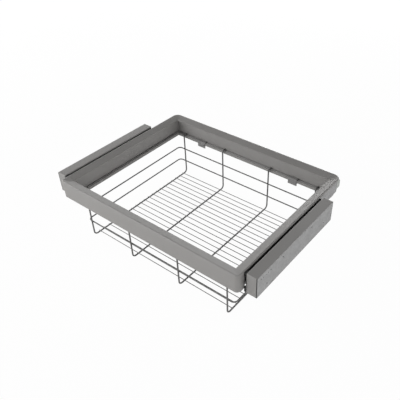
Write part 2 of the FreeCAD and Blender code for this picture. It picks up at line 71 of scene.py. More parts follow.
# %% [markdown]
# ## Camera
# The photograph looks down at the drawer from its front right corner. The camera's place, focal length
# and shift were worked out from the vanishing points of the rails and from the frame's known corners.
# The shift is there because the photograph is a crop whose middle isn't the lens's middle.

# %% Place the camera
CAMERA_PLACE = (0.7850, -0.8879, 1.0369)
CAMERA_AZIMUTH = 37.82
CAMERA_ELEVATION = 38.53
CAMERA_ROLL = -0.60
CAMERA_LENS = 45.70
CAMERA_SHIFT = (-0.070, 0.0175)
SENSOR_WIDTH = 36.0


def turn(axis, degrees):
    """The 3 by 3 matrix that turns by an angle about the axis X, Y or Z."""
    return Matrix.Rotation(math.radians(degrees), 3, axis)


camera_data = bpy.data.cameras.new("photo_camera")
camera_data.lens = CAMERA_LENS
camera_data.sensor_width = SENSOR_WIDTH
camera_data.shift_x, camera_data.shift_y = CAMERA_SHIFT
camera = bpy.data.objects.new("photo_camera", camera_data)
camera.location = CAMERA_PLACE
camera_turn = turn("Z", CAMERA_AZIMUTH) @ turn("X", 90 - CAMERA_ELEVATION) @ turn("Z", CAMERA_ROLL)
camera.rotation_euler = camera_turn.to_euler()
bpy.context.scene.collection.objects.link(camera)
bpy.context.scene.camera = camera
print("camera at", CAMERA_PLACE, "looking down by", CAMERA_ELEVATION, "degrees")

# %% [markdown]
# ## Materials from expressions
# A finish such as powder coat is a little arithmetic on noise. Building it node by node hides that
# arithmetic, so a small class wraps a node's output and gives it Python's operators: `1 - mask` adds
# the Math node that works it out. Every other node comes from one method, which takes the node's type,
# its settings and its inputs.

# %% A wrapped socket and a finish under construction
class Socket:
    """One output of a node. Adding, subtracting or multiplying it adds a Math node."""

    def __init__(self, finish, output):
        self.finish = finish
        self.output = output

    def math(self, operation, first, second=0.0):
        """The Math node of one operation."""
        return self.finish.node("ShaderNodeMath", {"operation": operation}, {0: first, 1: second})

    def __add__(self, other):
        return self.math("ADD", self, other)

    def __radd__(self, other):
        return self.math("ADD", other, self)

    def __sub__(self, other):
        return self.math("SUBTRACT", self, other)

    def __rsub__(self, other):
        return self.math("SUBTRACT", other, self)

    def __mul__(self, other):
        return self.math("MULTIPLY", self, other)

    def __rmul__(self, other):
        return self.math("MULTIPLY", other, self)

    def __abs__(self):
        return self.math("ABSOLUTE", self)

    def above(self, level):
        """1 where the value is greater than the level, and 0 elsewhere."""
        return self.math("GREATER_THAN", self, level)


class Finish:
    """A material under construction. node() adds any node: its settings first, then its inputs."""

    def __init__(self, name):
        self.material = bpy.data.materials.new(name)
        self.material.use_nodes = True
        self.tree = self.material.node_tree
        self.tree.nodes.clear()

    def node(self, kind, settings=None, inputs=None, output=0):
        """Adds a node and gives one of its outputs; an input is a plain value or a Socket."""
        made = self.tree.nodes.new(kind)
        for name, value in (settings or {}).items():
            setattr(made, name, value)
        for name, value in (inputs or {}).items():
            if isinstance(value, Socket):
                self.tree.links.new(value.output, made.inputs[name])
            else:
                made.inputs[name].default_value = value
        return Socket(self, made.outputs[output])

    def place(self):
        """Object coordinates, which are metres in the part's own frame."""
        return self.node("ShaderNodeTexCoord", output="Object")

    def noise(self, scale, detail=2.0, place=None):
        """Soft noise from 0 to 1, with about `scale` bumps to a metre."""
        return self.node("ShaderNodeTexNoise", {"noise_dimensions": "3D"}, {
            "Vector": place or self.place(), "Scale": scale, "Detail": detail, "Roughness": 0.5})

    def colours(self, factor, first, second):
        """A colour between two colours, which are sockets 6 and 7; the colour result is output 2."""
        return self.node("ShaderNodeMix", {"data_type": "RGBA"}, {
            "Factor": factor, 6: first, 7: second}, output=2)

    def bump(self, height, strength, depth):
        """A normal that leans as the height does; the depth is in metres."""
        return self.node("ShaderNodeBump", None, {
            "Height": height, "Strength": strength, "Distance": depth})

    def surface(self, **inputs):
        """The shader and the output; keywords are its sockets with spaces as underscores."""
        named = {name.replace("_", " "): value for name, value in inputs.items()}
        shader = self.node("ShaderNodeBsdfPrincipled", None, named)
        self.put_out(shader)
        return self.material

    def put_out(self, shader, kind="ShaderNodeOutputMaterial"):
        """Ends the tree with the shader that is seen."""
        made = self.tree.nodes.new(kind)
        self.tree.links.new(shader.output, made.inputs["Surface"])


class Backdrop(Finish):
    """The same expressions on the nodes of a world."""

    def __init__(self, name):
        self.world = bpy.data.worlds.new(name)
        self.world.use_nodes = True
        self.tree = self.world.node_tree
        self.tree.nodes.clear()


def grey(level, warm=0.0, green=0.0):
    """A linear colour by the sRGB curve from a picture level of 0 to 255, warmed or greened a little."""
    levels = [level + warm, level + green, level - warm]
    return tuple(((v / 255 + 0.055) / 1.055) ** 2.4 for v in levels) + (1.0,)


print("a picture level of 128 is", round(grey(128)[0], 3), "in linear light")

# %% [markdown]
# ## Powder coat
# The frame and the housings carry a grey powder coat. Close up such paint has a fine orange peel, a
# ripple of about a millimetre, and its tone varies a little over a hand's width. A flat colour would
# look like paper and an image would have to be painted for each piece, so noise at these two scales
# gives both, one through the bump and one through the colour, which a finer noise also specks a little.
# The ripple is kept faint, because in the picture it is finer than a pixel and would only turn to grain.

# %% A powder coat
DRIFT_SCALE = 14.0
DRIFT_SHARE = 0.7
SPECK_SCALE = 3200.0
SPECK_SHARE = 0.3
TONE_START = 0.35
TONE_GAIN = 1.4
TONE_SPREAD = 4
PEEL_SCALE = 850.0
PEEL_DEPTH = 0.00012
COAT_ROUGHNESS_SPREAD = 0.08
COAT_IOR = 1.5
# Level of the dark painted shade at the housings' cut ends, standing in for the shade of the gap at the
# plate
END_SHADE_LEVEL = 62


def powder_coat(name, level, warm, roughness, ripple):
    """Base grey that drifts by a few levels, with an orange peel bump."""
    return coat_on(Finish(name), level, warm, roughness, ripple)


def coat_on(finish, level, warm, roughness, ripple, painted_shade=None):
    """The coat on a finish under construction; painted_shade is 1 where a dark painted shade takes the
    place of the paint.
    """
    drift = finish.noise(DRIFT_SCALE)
    peel = finish.noise(PEEL_SCALE, detail=3.0)
    speck = finish.noise(SPECK_SCALE, detail=1.0)
    tone = (drift * DRIFT_SHARE + speck * SPECK_SHARE - TONE_START) * TONE_GAIN
    paint = finish.colours(tone, grey(level - TONE_SPREAD, warm), grey(level + TONE_SPREAD, warm))
    # Where the mask is 1, a dark tone is painted in for shade
    if painted_shade is not None:
        paint = finish.colours(painted_shade, paint, grey(END_SHADE_LEVEL))
    return finish.surface(
        Base_Color=paint,
        Roughness=roughness + (drift - 0.5) * COAT_ROUGHNESS_SPREAD,
        Metallic=0.0,
        IOR=COAT_IOR,
        Normal=finish.bump(peel, ripple, PEEL_DEPTH))


frame_paint = powder_coat("frame_paint", level=144, warm=1.8, roughness=0.52, ripple=0.01)
print("paint", frame_paint.name)

# %% [markdown]
# ## Painted shade at the cut ends
# In the photograph a thin dark line stands at both ends of each housing, where the painted cover ends and
# the zinc plate begins. It is the shade in the narrow gap between the cover's cut rim and the plate. The
# cover's coat paints this shade from the place: near the plate and near an end the paint gives way to a
# dark tone, a painted shade.

# %% A coat with painted shade at its cut ends
# Width of the painted shade at the cut ends, in metres
END_SHADE_DEPTH = 0.0019


def shaded_end_coat(name, level, warm, roughness, ripple):
    """A coat with a dark painted shade at the outer rim of both ends, where the gap at the plate is in
    shade.

    The shaded rim is where the distance from the middle, along X and along Y, is within END_SHADE_DEPTH of
    the housing's own reach.
    """
    low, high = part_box("right_housing_cover")
    finish = Finish(name)
    place = {"Vector": finish.place()}
    x = finish.node("ShaderNodeSeparateXYZ", None, place, output="X")
    y = finish.node("ShaderNodeSeparateXYZ", None, place, output="Y")
    # Mask of the painted shade: near the plate and near either end
    at_rim = abs(x).above(high.x - END_SHADE_DEPTH)
    at_end = abs(y - (low.y + high.y) / 2).above((high.y - low.y) / 2 - END_SHADE_DEPTH)
    return coat_on(finish, level, warm, roughness, ripple, at_rim * at_end)


# The housing coat, with a painted shade at its cut ends
housing_paint = shaded_end_coat("housing_paint", level=144, warm=1.6, roughness=0.52, ripple=0.01)
print("paint", housing_paint.name, "bare within", END_SHADE_DEPTH, "of its ends")

# %% [markdown]
# ## Wire and slide coats
# The basket's wires are a darker grey than the frame, and the clips are nearly as pale as the frame. The
# rim wire is welded with the wires, but it takes the pale clip coat: painted light that lifts the shade of
# the groove it lies in. The slides' outer members take a black coat that is a little glossier: painted
# shade, which keeps the narrow gap beside the frame as dark as deep shade. The same coat serves for all
# three, with other numbers.

# %% Coats of the wires, clips and slides
wire_paint = powder_coat("wire_paint", level=104, warm=0.6, roughness=0.45, ripple=0.01)
# The clips' own pale coat, also laid on the rim wire as painted light over the groove's shade
clip_and_lit_rim_paint = powder_coat("clip_and_lit_rim_paint", level=140, warm=1.0, roughness=0.45, ripple=0.01)
# Black painted shade on the slides' outer members, for the deep shade of the gap beside the frame
slide_black = powder_coat("slide_black", level=26, warm=0.0, roughness=0.34, ripple=0.02)
print("paints", wire_paint.name, clip_and_lit_rim_paint.name, slide_black.name)

# %% [markdown]
# ## Zinc
# Rolled zinc plated sheet shows a cloudy mottle of crystals with faint rolling marks along its length.
# Smoothed Voronoi cells give the crystals, and noise stretched along the sheet gives the rolling marks.
# Zinc that has stood a while is duller than a mirror, so it is only partly metallic and rather rough.

# %% Zinc plated sheet
CELL_SCALE = 170.0
CELL_SOFTNESS = 0.6
CELL_SHARE = 0.5
ROLLING_SCALE = (900.0, 14.0, 900.0)
ROLLING_SHARE = 0.35
ROLLING_STRENGTH = 0.12
ROLLING_DEPTH = 0.00005
CLOUD_SCALE = 60.0
CLOUD_SHARE = 0.6
MOTTLE_START = 0.35
MOTTLE_DARKER = 22
MOTTLE_LIGHTER = 16
ZINC_ROUGHNESS_SPREAD = 0.25
ZINC_METALLIC = 0.6


def zinc_sheet(name, level, warm, roughness):
    """Cells a few millimetres wide, each with its own tone, under long rolling marks."""
    finish = Finish(name)
    place = finish.place()
    cells = finish.node("ShaderNodeTexVoronoi", {"feature": "SMOOTH_F1"}, {
        "Vector": place, "Scale": CELL_SCALE, "Smoothness": CELL_SOFTNESS}, output="Distance")
    stretched = finish.node("ShaderNodeMapping", {"vector_type": "POINT"}, {
        "Vector": place, "Scale": ROLLING_SCALE})
    rolling = finish.noise(1.0, place=stretched)
    cloud = finish.noise(CLOUD_SCALE, detail=3.0, place=place)
    tone = cells * CELL_SHARE + rolling * ROLLING_SHARE + cloud * CLOUD_SHARE - MOTTLE_START
    return finish.surface(
        Base_Color=finish.colours(
            tone, grey(level - MOTTLE_DARKER, warm), grey(level + MOTTLE_LIGHTER, warm)),
        Roughness=roughness + (cloud - 0.5) * ZINC_ROUGHNESS_SPREAD,
        Metallic=ZINC_METALLIC,
        Normal=finish.bump(rolling, ROLLING_STRENGTH, ROLLING_DEPTH))


zinc = zinc_sheet("zinc", level=181, warm=0.0, roughness=0.52)
print("plating", zinc.name)

# %% [markdown]
# ## Plastics and rubber
# The ball cages are natural acetal, the carrier's end cap is pale plastic and the buffers are black. A
# mould is spark eroded, which leaves an even fine grain on every face, and the moulding itself hardly
# changes tone. Fine noise through the bump gives the grain. Rubber is the same with a rougher face.

# %% Plastics and rubber
SPARK_SCALE = 1500.0
SPARK_DEPTH = 0.0001
FLOW_SCALE = 30.0
FLOW_SPREAD = 5
MOULDED_ROUGHNESS_SPREAD = 0.1
MOULDED_IOR = 1.46


def moulded(name, level, warm, roughness, grain, green=0.0):
    """Plastic with a fine sparked grain and hardly any change of tone."""
    finish = Finish(name)
    sparks = finish.noise(SPARK_SCALE, detail=3.0)
    flow = finish.noise(FLOW_SCALE)
    return finish.surface(
        Base_Color=finish.colours(
            flow, grey(level - FLOW_SPREAD, warm, green), grey(level + FLOW_SPREAD, warm, green)),
        Roughness=roughness + (sparks - 0.5) * MOULDED_ROUGHNESS_SPREAD,
        IOR=MOULDED_IOR,
        Normal=finish.bump(sparks, grain, SPARK_DEPTH))


cage_plastic = moulded("cage_plastic", level=206, warm=1.0, roughness=0.45, grain=0.12)
black_plastic = moulded("black_plastic", level=38, warm=0.0, roughness=0.42, grain=0.18)
cap_plastic = moulded("cap_plastic", level=172, warm=0.5, roughness=0.45, grain=0.10, green=3.0)
rubber = moulded("rubber", level=30, warm=0.0, roughness=0.75, grain=0.25)
print("plastics", cage_plastic.name, black_plastic.name, cap_plastic.name, rubber.name)

# %% [markdown]
# ## Bright steel
# Balls are ground and polished, and screws and rivets come out of the plating bath with a dull shine. Both
# are fully metallic and differ only in tone and roughness, with a trace of fine scratches.

# %% Bright steel
SCRATCH_SCALE = 2500.0
SCRATCH_SPREAD = 8
STEEL_ROUGHNESS_SPREAD = 0.08


def polished(name, level, roughness):
    """Bright steel with a trace of fine scratches."""
    finish = Finish(name)
    scratches = finish.noise(SCRATCH_SCALE)
    return finish.surface(
        Base_Color=finish.colours(scratches, grey(level - SCRATCH_SPREAD), grey(level + SCRATCH_SPREAD)),
        Roughness=roughness + (scratches - 0.5) * STEEL_ROUGHNESS_SPREAD,
        Metallic=1.0)


bearing_steel = polished("bearing_steel", level=214, roughness=0.16)
screw_steel = polished("screw_steel", level=150, roughness=0.30)
print("materials", len(bpy.data.materials))

# %% [markdown]
# ## Soft edges
# Pressed sheet has no knife edges: each bend has a radius and each cut edge is broken by the paint. A
# construction mesh is loose triangles, so a copy is joined up, its flat triangles merge into whole
# faces, and a narrow Bevel rounds every edge sharper than a set angle. Weighted normals keep the broad
# faces flat up to their bends, and edges between the two angles stay as crisp as a fold. The copy then
# stands for the construction piece.

# %% Soften a piece
MERGE_DISTANCE = 2e-6
FLAT_ANGLE = 0.6
CREASE_ANGLE = 15.0
BEVEL_ANGLE = 35.0
BEVEL_SEGMENTS = 2
AREA_WEIGHT = 50


def joined_copy(node):
    """The construction mesh with its doubles merged and its flat triangles dissolved."""
    work = bmesh.new()
    work.from_mesh(frame["nodes"][node].data)
    bmesh.ops.remove_doubles(work, verts=work.verts, dist=MERGE_DISTANCE)
    bmesh.ops.dissolve_limit(
        work, angle_limit=math.radians(FLAT_ANGLE), verts=work.verts, edges=work.edges, delimit=set())
    mesh = bpy.data.meshes.new("soft_" + node)
    work.to_mesh(mesh)
    work.free()
    mesh.shade_smooth()
    mesh.set_sharp_from_angle(angle=math.radians(CREASE_ANGLE))
    return mesh


def add_piece(name, mesh, body, material, nodes):
    """Puts a finished mesh in the scene: it rides on a body and stands for its nodes."""
    piece = bpy.data.objects.new(name, mesh)
    bpy.context.scene.collection.objects.link(piece)
    mesh.materials.clear()
    mesh.materials.append(material)
    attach(piece, body)
    if nodes:
        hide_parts(*nodes)
    return piece


def soften(node, material, width):
    """Puts in a copy whose sharp edges are rounded by `width` metres."""
    body = frame["nodes"][node]["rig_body"]
    piece = add_piece("soft_" + node, joined_copy(node), body, material, [node])
    bevel = piece.modifiers.new("edges", "BEVEL")
    bevel.width = width
    bevel.segments = BEVEL_SEGMENTS
    bevel.limit_method = "ANGLE"
    bevel.angle_limit = math.radians(BEVEL_ANGLE)
    bevel.use_clamp_overlap = True
    flatten = piece.modifiers.new("flat_faces", "WEIGHTED_NORMAL")
    flatten.mode = "FACE_AREA"
    flatten.weight = AREA_WEIGHT
    flatten.keep_sharp = True


print("creases above", CREASE_ANGLE, "degrees stay crisp, and above", BEVEL_ANGLE, "they are rounded")

# %% [markdown]
# ## The painted frame
# The four rails are folded sheet and the corners are pressed, so their edges have a paint film on a small
# radius. Half a millimetre is enough to catch a line of light along the front rail, as in the photograph.

# %% Soften the frame
PAINTED_EDGE = 0.0005
SIDES = ("right_", "left_")
FRAME_NODES = ["front_rail", "back_rail"] + [
    side + name for side in SIDES for name in ("rail", "front_corner", "back_corner")]
for node in FRAME_NODES:
    soften(node, frame_paint, PAINTED_EDGE)
print("frame pieces", len(FRAME_NODES))

# %% [markdown]
# ## Housings, carriers and slides
# These are thinner sheet than the frame, so their edges are broken by less. The plastic parts have the
# rounder edge that a mould gives, and rivets and screw heads a finer one.

# %% Soften the housings and slides
SHEET_EDGE = 0.0003
MOULDED_EDGE = 0.0005
HEAD_EDGE = 0.0002
for side in SIDES:
    soften(side + "housing_cover", housing_paint, SHEET_EDGE)
    soften(side + "wall_plate", zinc, SHEET_EDGE)
    soften(side + "slide_brackets", housing_paint, SHEET_EDGE)
    soften(side + "slide_carrier", zinc, SHEET_EDGE)
    soften(side + "carrier_end_cap", cap_plastic, MOULDED_EDGE)
    # The cabinet members wear the black painted shade of the gap they stand in
    soften(side + "cabinet_member", slide_black, SHEET_EDGE)
    for name in ("drawer_member", "middle_member"):
        soften(side + name, zinc, SHEET_EDGE)
    soften(side + "front_buffer", black_plastic, MOULDED_EDGE)
    soften(side + "rear_buffer", rubber, MOULDED_EDGE)
    for name in ("drawer_rivets", "cabinet_rivets", "carrier_screws"):
        soften(side + name, screw_steel, HEAD_EDGE)
    for name in ("outer_ball_cage", "inner_ball_cage"):
        soften(side + name, cage_plastic, HEAD_EDGE)
soften("basket_clips", clip_and_lit_rim_paint, SHEET_EDGE)

# %% [markdown]
# ## Round wires
# The basket is welded from drawn wire, which is truly round and bends without kinks. Each wire is a
# circle carried along its route. All routes lie in one plane, so the circle's frame is simple: one
# direction is the plane's normal, and the other is that normal crossed with the route's heading. The
# whole tube is worked out as one array. Blender's curves could do it too, but then the end caps and the
# number of faces would be out of hand.

# %% Routes and tubes
ARC_POINTS = 13
WIRE_SIDES = 20
TIP_REACH = 0.25
CAP_SHARE = 0.8
CAP_REACH = 0.18


def route(points, radii, closed):
    """Straight runs joined by tangent arcs, one for each corner that has a radius.

    At a corner the arc starts r tan(t / 2) before it, where t is the turn, and its centre is
    r / cos(t / 2) from the corner along the line that halves the angle.
    """
    points = np.array(points, float)
    count = len(points)
    pieces = []
    for i in range(count):
        if not closed and i in (0, count - 1):
            pieces.append(points[i][None, :])
            continue
        before = points[i - 1] - points[i]
        after = points[(i + 1) % count] - points[i]
        before /= np.linalg.norm(before)
        after /= np.linalg.norm(after)
        turned = math.pi - math.acos(np.clip(before @ after, -1, 1))
        halving = (before + after) / np.linalg.norm(before + after)
        centre = points[i] + halving * radii[i] / math.cos(turned / 2)
        start = points[i] + before * radii[i] * math.tan(turned / 2) - centre
        sweep = np.linspace(0.0, turned, ARC_POINTS)[:, None]
        across = -before * radii[i]
        pieces.append(centre + start * np.cos(sweep) + across * np.sin(sweep))
    return np.concatenate(pieces)


def tube_mesh(path, radius, normal, closed, sides=WIRE_SIDES):
    """Circle of points round each point of a plane route, closed by a cap or by itself.

    A point is path + radius (cos a normal + sin a side), and side is normal crossed with heading.
    An open end is rounded by a narrower circle a little beyond it and a point beyond that.
    """
    ahead = np.roll(path, -1, axis=0) - path
    behind = path - np.roll(path, 1, axis=0)
    if not closed:
        ahead[-1], behind[0] = behind[-1], ahead[0]
    ahead /= np.linalg.norm(ahead, axis=1, keepdims=True)
    behind /= np.linalg.norm(behind, axis=1, keepdims=True)
    heading = ahead + behind
    heading /= np.linalg.norm(heading, axis=1, keepdims=True)
    normal = np.array(normal, float)
    side = np.cross(normal, heading)
    angle = np.linspace(0, 2 * math.pi, sides, endpoint=False)
    ring = np.cos(angle)[None, :, None] * normal + np.sin(angle)[None, :, None] * side[:, None, :]
    places = path[:, None, :] + radius * ring
    rows = len(path)
    if not closed:
        tips = [path[0] - heading[0] * radius * TIP_REACH, path[-1] + heading[-1] * radius * TIP_REACH]
        first = path[0] + CAP_SHARE * radius * ring[0] - heading[0] * radius * CAP_REACH
        last = path[-1] + CAP_SHARE * radius * ring[-1] + heading[-1] * radius * CAP_REACH
        places = np.concatenate([first[None], places, last[None]])
        rows += 2
    index = np.arange(rows * sides).reshape(rows, sides)
    if closed:
        index = np.concatenate([index, index[:1]])
    a, b = index[:-1], index[1:]
    faces = np.stack([a, np.roll(a, -1, 1), np.roll(b, -1, 1), b], axis=-1).reshape(-1, 4)
    vertices = places.reshape(-1, 3)
    if closed:
        return vertices, [tuple(f) for f in faces.tolist()]
    vertices = np.concatenate([vertices, tips])
    start, end = len(vertices) - 2, len(vertices) - 1
    caps = [(start, q, p) for p, q in zip(index[0], np.roll(index[0], -1))]
    caps += [(end, p, q) for p, q in zip(index[-1], np.roll(index[-1], -1))]
    return vertices, [tuple(f) for f in faces.tolist()] + caps


def merged_mesh(name, parts):
    """One mesh from several lists of vertices and faces."""
    vertices, faces, start = [], [], 0
    for points, polygons in parts:
        vertices.append(points)
        faces += [tuple(int(v) + start for v in f) for f in polygons]
        start += len(points)
    mesh = bpy.data.meshes.new(name)
    mesh.from_pydata(np.concatenate(vertices).tolist(), [], faces)
    mesh.validate()
    mesh.shade_smooth()
    work = bmesh.new()
    work.from_mesh(mesh)
    bmesh.ops.recalc_face_normals(work, faces=work.faces)
    work.to_mesh(mesh)
    work.free()
    return mesh


print("a bend has", ARC_POINTS, "points and a wire", WIRE_SIDES, "sides")

# %% [markdown]
# ## Ribs
# Four ribs carry the basket. Each is one wire that hooks over the back lip, runs down, across under the
# floor and up to the front lip. Its bends at the floor are wide, and those at the lips are tight. The
# places are read from the construction pieces' own boxes.

# %% Bend the ribs
MM = 0.001
RIB_RADIUS = 2.25 * MM
RIB_BEND = 12.0 * MM
RIB_TOP_BEND = 4.0 * MM
RIB_NODES = ["basket_rib_%d" % number for number in (1, 2, 3, 4)]
for node in RIB_NODES:
    low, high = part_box(node)
    x = (low.x + high.x) / 2
    top = high.z - RIB_RADIUS
    end = high.y
    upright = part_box("basket_upper_ring")[1].y + RIB_RADIUS
    points = [(x, -end, top), (x, -upright, top), (x, -upright, RIB_RADIUS),
              (x, upright, RIB_RADIUS), (x, upright, top), (x, end, top)]
    path = route(points, [0, RIB_TOP_BEND, RIB_BEND, RIB_BEND, RIB_TOP_BEND, 0], closed=False)
    mesh = merged_mesh("wire_" + node, [tube_mesh(path, RIB_RADIUS, (1, 0, 0), closed=False)])
    add_piece("wire_" + node, mesh, "drawer", wire_paint, [node])
    print(node, "x", round(x, 4), "top", round(top, 4), "vertices", len(mesh.vertices))

# %% [markdown]
# ## Rings and rim
# Two rings go round the basket inside its ribs, and a rim wire lies in the groove of the frame's lip. A
# ring is one closed wire with a weld that is ground away, so it is a route without ends. The rim takes
# the paler clip coat, painted light that lifts the shade of the groove, so that its few visible
# millimetres are pale as in the photograph.

# %% Bend the rings and the rim
RING_CORNERS = {"basket_upper_ring": 12.0 * MM, "basket_lower_ring": 12.0 * MM, "basket_rim": 6.0 * MM}
for node, corner in RING_CORNERS.items():
    low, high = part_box(node)
    radius = (high.z - low.z) / 2
    z = (high.z + low.z) / 2
    half_x, half_y = high.x - radius, high.y - radius
    points = [(-half_x, -half_y, z), (half_x, -half_y, z), (half_x, half_y, z), (-half_x, half_y, z)]
    path = route(points, [corner] * 4, closed=True)
    mesh = merged_mesh("wire_" + node, [tube_mesh(path, radius, (0, 0, 1), closed=True)])
    # Painted light: the rim takes the paler clip coat against the shade of its groove
    coat = clip_and_lit_rim_paint if node == "basket_rim" else wire_paint
    add_piece("wire_" + node, mesh, "drawer", coat, [node])
    print(node, "half sizes", round(half_x, 4), round(half_y, 4), "height", round(z, 4))

# %% [markdown]
# ## Floor wires
# Twenty-one thin wires make the floor. They lie on the ribs and end just beyond the outer two, with the
# ends cropped and slightly rounded by the paint. All of them are one mesh, as they share one thickness
# and one length, with fewer sides than the ribs because they are thin.

# %% Lay the floor wires
FLOOR_WIRE_COUNT = 21
FLOOR_WIRE_SIDES = 14
FLOOR_WIRE_END = 0.0004
low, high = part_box("basket_floor_wires")
floor_radius = (high.z - low.z) / 2
floor_z = (high.z + low.z) / 2
floor_y = np.linspace(low.y + floor_radius, high.y - floor_radius, FLOOR_WIRE_COUNT)
wires = []
for y in floor_y:
    path = np.array([(low.x + FLOOR_WIRE_END, y, floor_z), (high.x - FLOOR_WIRE_END, y, floor_z)])
    wires.append(tube_mesh(path, floor_radius, (0, 0, 1), closed=False, sides=FLOOR_WIRE_SIDES))
mesh = merged_mesh("wire_floor", wires)
add_piece("wire_floor", mesh, "drawer", wire_paint, ["basket_floor_wires"])
print("floor wires", FLOOR_WIRE_COUNT, "pitch", round(float(floor_y[1] - floor_y[0]), 5))

# %% [markdown]
# ## Balls
# Each plastic cage holds two rows of steel balls, and each slide has two cages. A ball is a sphere worked
# out from two angles, and the rows' places are read from the construction balls' own box.

# %% Balls
BALLS_PER_ROW = 4
BALL_RADIUS = 1.5 * MM


def sphere(centre, radius, rings=12, sides=20):
    """radius (sin p cos t, sin p sin t, cos p) about a centre, with a single point at each pole."""
    p = np.linspace(0, math.pi, rings + 1)[1:-1, None]
    t = np.linspace(0, 2 * math.pi, sides, endpoint=False)[None, :]
    grid = np.stack([np.sin(p) * np.cos(t), np.sin(p) * np.sin(t), np.cos(p) * np.ones_like(t)], axis=-1)
    poles = np.array([(0, 0, 1.0), (0, 0, -1.0)])
    vertices = np.array(centre) + np.array(radius) * np.concatenate([grid.reshape(-1, 3), poles])
    index = np.arange((rings - 1) * sides).reshape(rings - 1, sides)
    a, b = index[:-1], index[1:]
    faces = np.stack([a, b, np.roll(b, -1, 1), np.roll(a, -1, 1)], axis=-1).reshape(-1, 4).tolist()
    top, bottom = len(vertices) - 2, len(vertices) - 1
    faces += [(top, p0, q0) for p0, q0 in zip(index[0], np.roll(index[0], -1))]
    faces += [(bottom, q0, p0) for p0, q0 in zip(index[-1], np.roll(index[-1], -1))]
    return vertices, faces


ball_count = 0
for side in SIDES:
    for name in ("outer_balls", "inner_balls"):
        node = side + name
        low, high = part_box(node)
        x = (low.x + high.x) / 2
        ys = np.linspace(low.y + BALL_RADIUS, high.y - BALL_RADIUS, BALLS_PER_ROW)
        centres = [(x, y, z) for z in (low.z + BALL_RADIUS, high.z - BALL_RADIUS) for y in ys]
        mesh = merged_mesh("smooth_" + node, [sphere(c, BALL_RADIUS) for c in centres])
        body = frame["nodes"][node]["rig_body"]
        add_piece("smooth_" + node, mesh, body, bearing_steel, [node])
        ball_count += len(centres)
print("balls", ball_count)

# %% [markdown]
# ## Weld spots
# Resistance welding sinks each wire a little into its neighbour and leaves a small collar of metal round
# the crossing. A flattened sphere at each crossing, slightly wider than the contact, gives that collar.
# All the spots are one mesh, because they are one operation on the real basket, done before the paint.

# %% Weld spots
# Half sizes along X, Y and Z in millimetres
RING_SPOT = (1.9, 0.9, 1.9)
FLOOR_SPOT = (1.6, 1.2, 0.7)
RIM_SPOT = (1.7, 1.7, 0.8)


def box_middle(node, axis):
    """Middle of a node's box along one axis."""
    low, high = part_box(node)
    return (low[axis] + high[axis]) / 2


rib_places = [box_middle(node, 0) for node in RIB_NODES]
spots = []
for node in ("basket_upper_ring", "basket_lower_ring"):
    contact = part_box(node)[1].y
    for sign in (-1, 1):
        spots += [((x, sign * contact, box_middle(node, 2)), RING_SPOT) for x in rib_places]
floor_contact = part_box("basket_floor_wires")[0].z
for y in floor_y:
    spots += [((x, y, floor_contact), FLOOR_SPOT) for x in rib_places]
rim_low, rim_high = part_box("basket_rim")
rim_run = rim_high.y - (rim_high.z - rim_low.z) / 2
for sign in (-1, 1):
    spots += [((x, sign * rim_run, rim_high.z), RIM_SPOT) for x in rib_places]
mesh = merged_mesh("weld_spots", [
    sphere(centre, np.array(reach) * MM, rings=5, sides=8) for centre, reach in spots])
add_piece("weld_spots", mesh, "drawer", wire_paint, [])
print("weld spots", len(spots))

# %% [markdown]
# ## Clip screws
# A pan head screw with a cross recess holds each clip to the lip. Its outline is turned about the axis
# from a short list of radii and heights, and the recess is pressed into the domed top: two crossing
# grooves whose depth fades towards their sides and their ends.

# %% Clip screws
HEAD_RADIUS = 2.5 * MM
HEAD_HEIGHT = 1.4 * MM
DOME_START = 0.04
DOME_STEPS = 16
DOME_DROP = 0.45
SHANK_RADIUS = 1.25 * MM
SCREW_LENGTH = 7.0 * MM
POINT_LENGTH = 0.6 * MM
POINT_SHARE = 0.3
SCREW_SIDES = 48
RECESS_REACH = 1.5 * MM
RECESS_HALF_WIDTH = 0.42 * MM
RECESS_DEPTH = 0.75 * MM
SIDE_FADE = 0.15 * MM
END_FADE = 0.3 * MM


def fade(value, edge, width):
    """1 up to the edge, then a smooth fall to 0 over the width."""
    t = np.clip((edge + width - value) / width, 0, 1)
    return t * t * (3 - 2 * t)


def screw_mesh(centre_x, head_y, centre_z, outward):
    """Turned outline: (r cos t, h, r sin t), with h lowered inside the cross recess."""
    dome = np.linspace(DOME_START, 1.0, DOME_STEPS)
    outline = [(r * HEAD_RADIUS, HEAD_HEIGHT * (1 - DOME_DROP * r ** 3)) for r in dome]
    outline += [(HEAD_RADIUS, 0.0), (SHANK_RADIUS, 0.0), (SHANK_RADIUS, -SCREW_LENGTH + POINT_LENGTH)]
    outline = np.array(outline + [(SHANK_RADIUS * POINT_SHARE, -SCREW_LENGTH)])
    t = np.linspace(0, 2 * math.pi, SCREW_SIDES, endpoint=False)
    radius = outline[:, :1] * np.ones_like(t)
    u, v = radius * np.cos(t), radius * np.sin(t)
    groove = fade(np.minimum(abs(u), abs(v)), RECESS_HALF_WIDTH, SIDE_FADE)
    recess = RECESS_DEPTH * groove * fade(radius, RECESS_REACH, END_FADE)
    on_top = (np.arange(len(outline)) < len(dome))[:, None]
    height = outline[:, 1:] - recess * on_top
    grid = np.stack([centre_x + u, head_y + outward * height, centre_z + v], axis=-1)
    ends = [(centre_x, head_y + outward * (HEAD_HEIGHT - RECESS_DEPTH), centre_z),
            (centre_x, head_y - outward * SCREW_LENGTH, centre_z)]
    index = np.arange(radius.size).reshape(radius.shape)
    a, b = index[:-1], index[1:]
    faces = np.stack([a, np.roll(a, -1, 1), np.roll(b, -1, 1), b], axis=-1).reshape(-1, 4).tolist()
    top, tip = radius.size, radius.size + 1
    faces += [(top, q, p) for p, q in zip(index[0], np.roll(index[0], -1))]
    faces += [(tip, p, q) for p, q in zip(index[-1], np.roll(index[-1], -1))]
    return np.concatenate([grid.reshape(-1, 3), ends]), faces


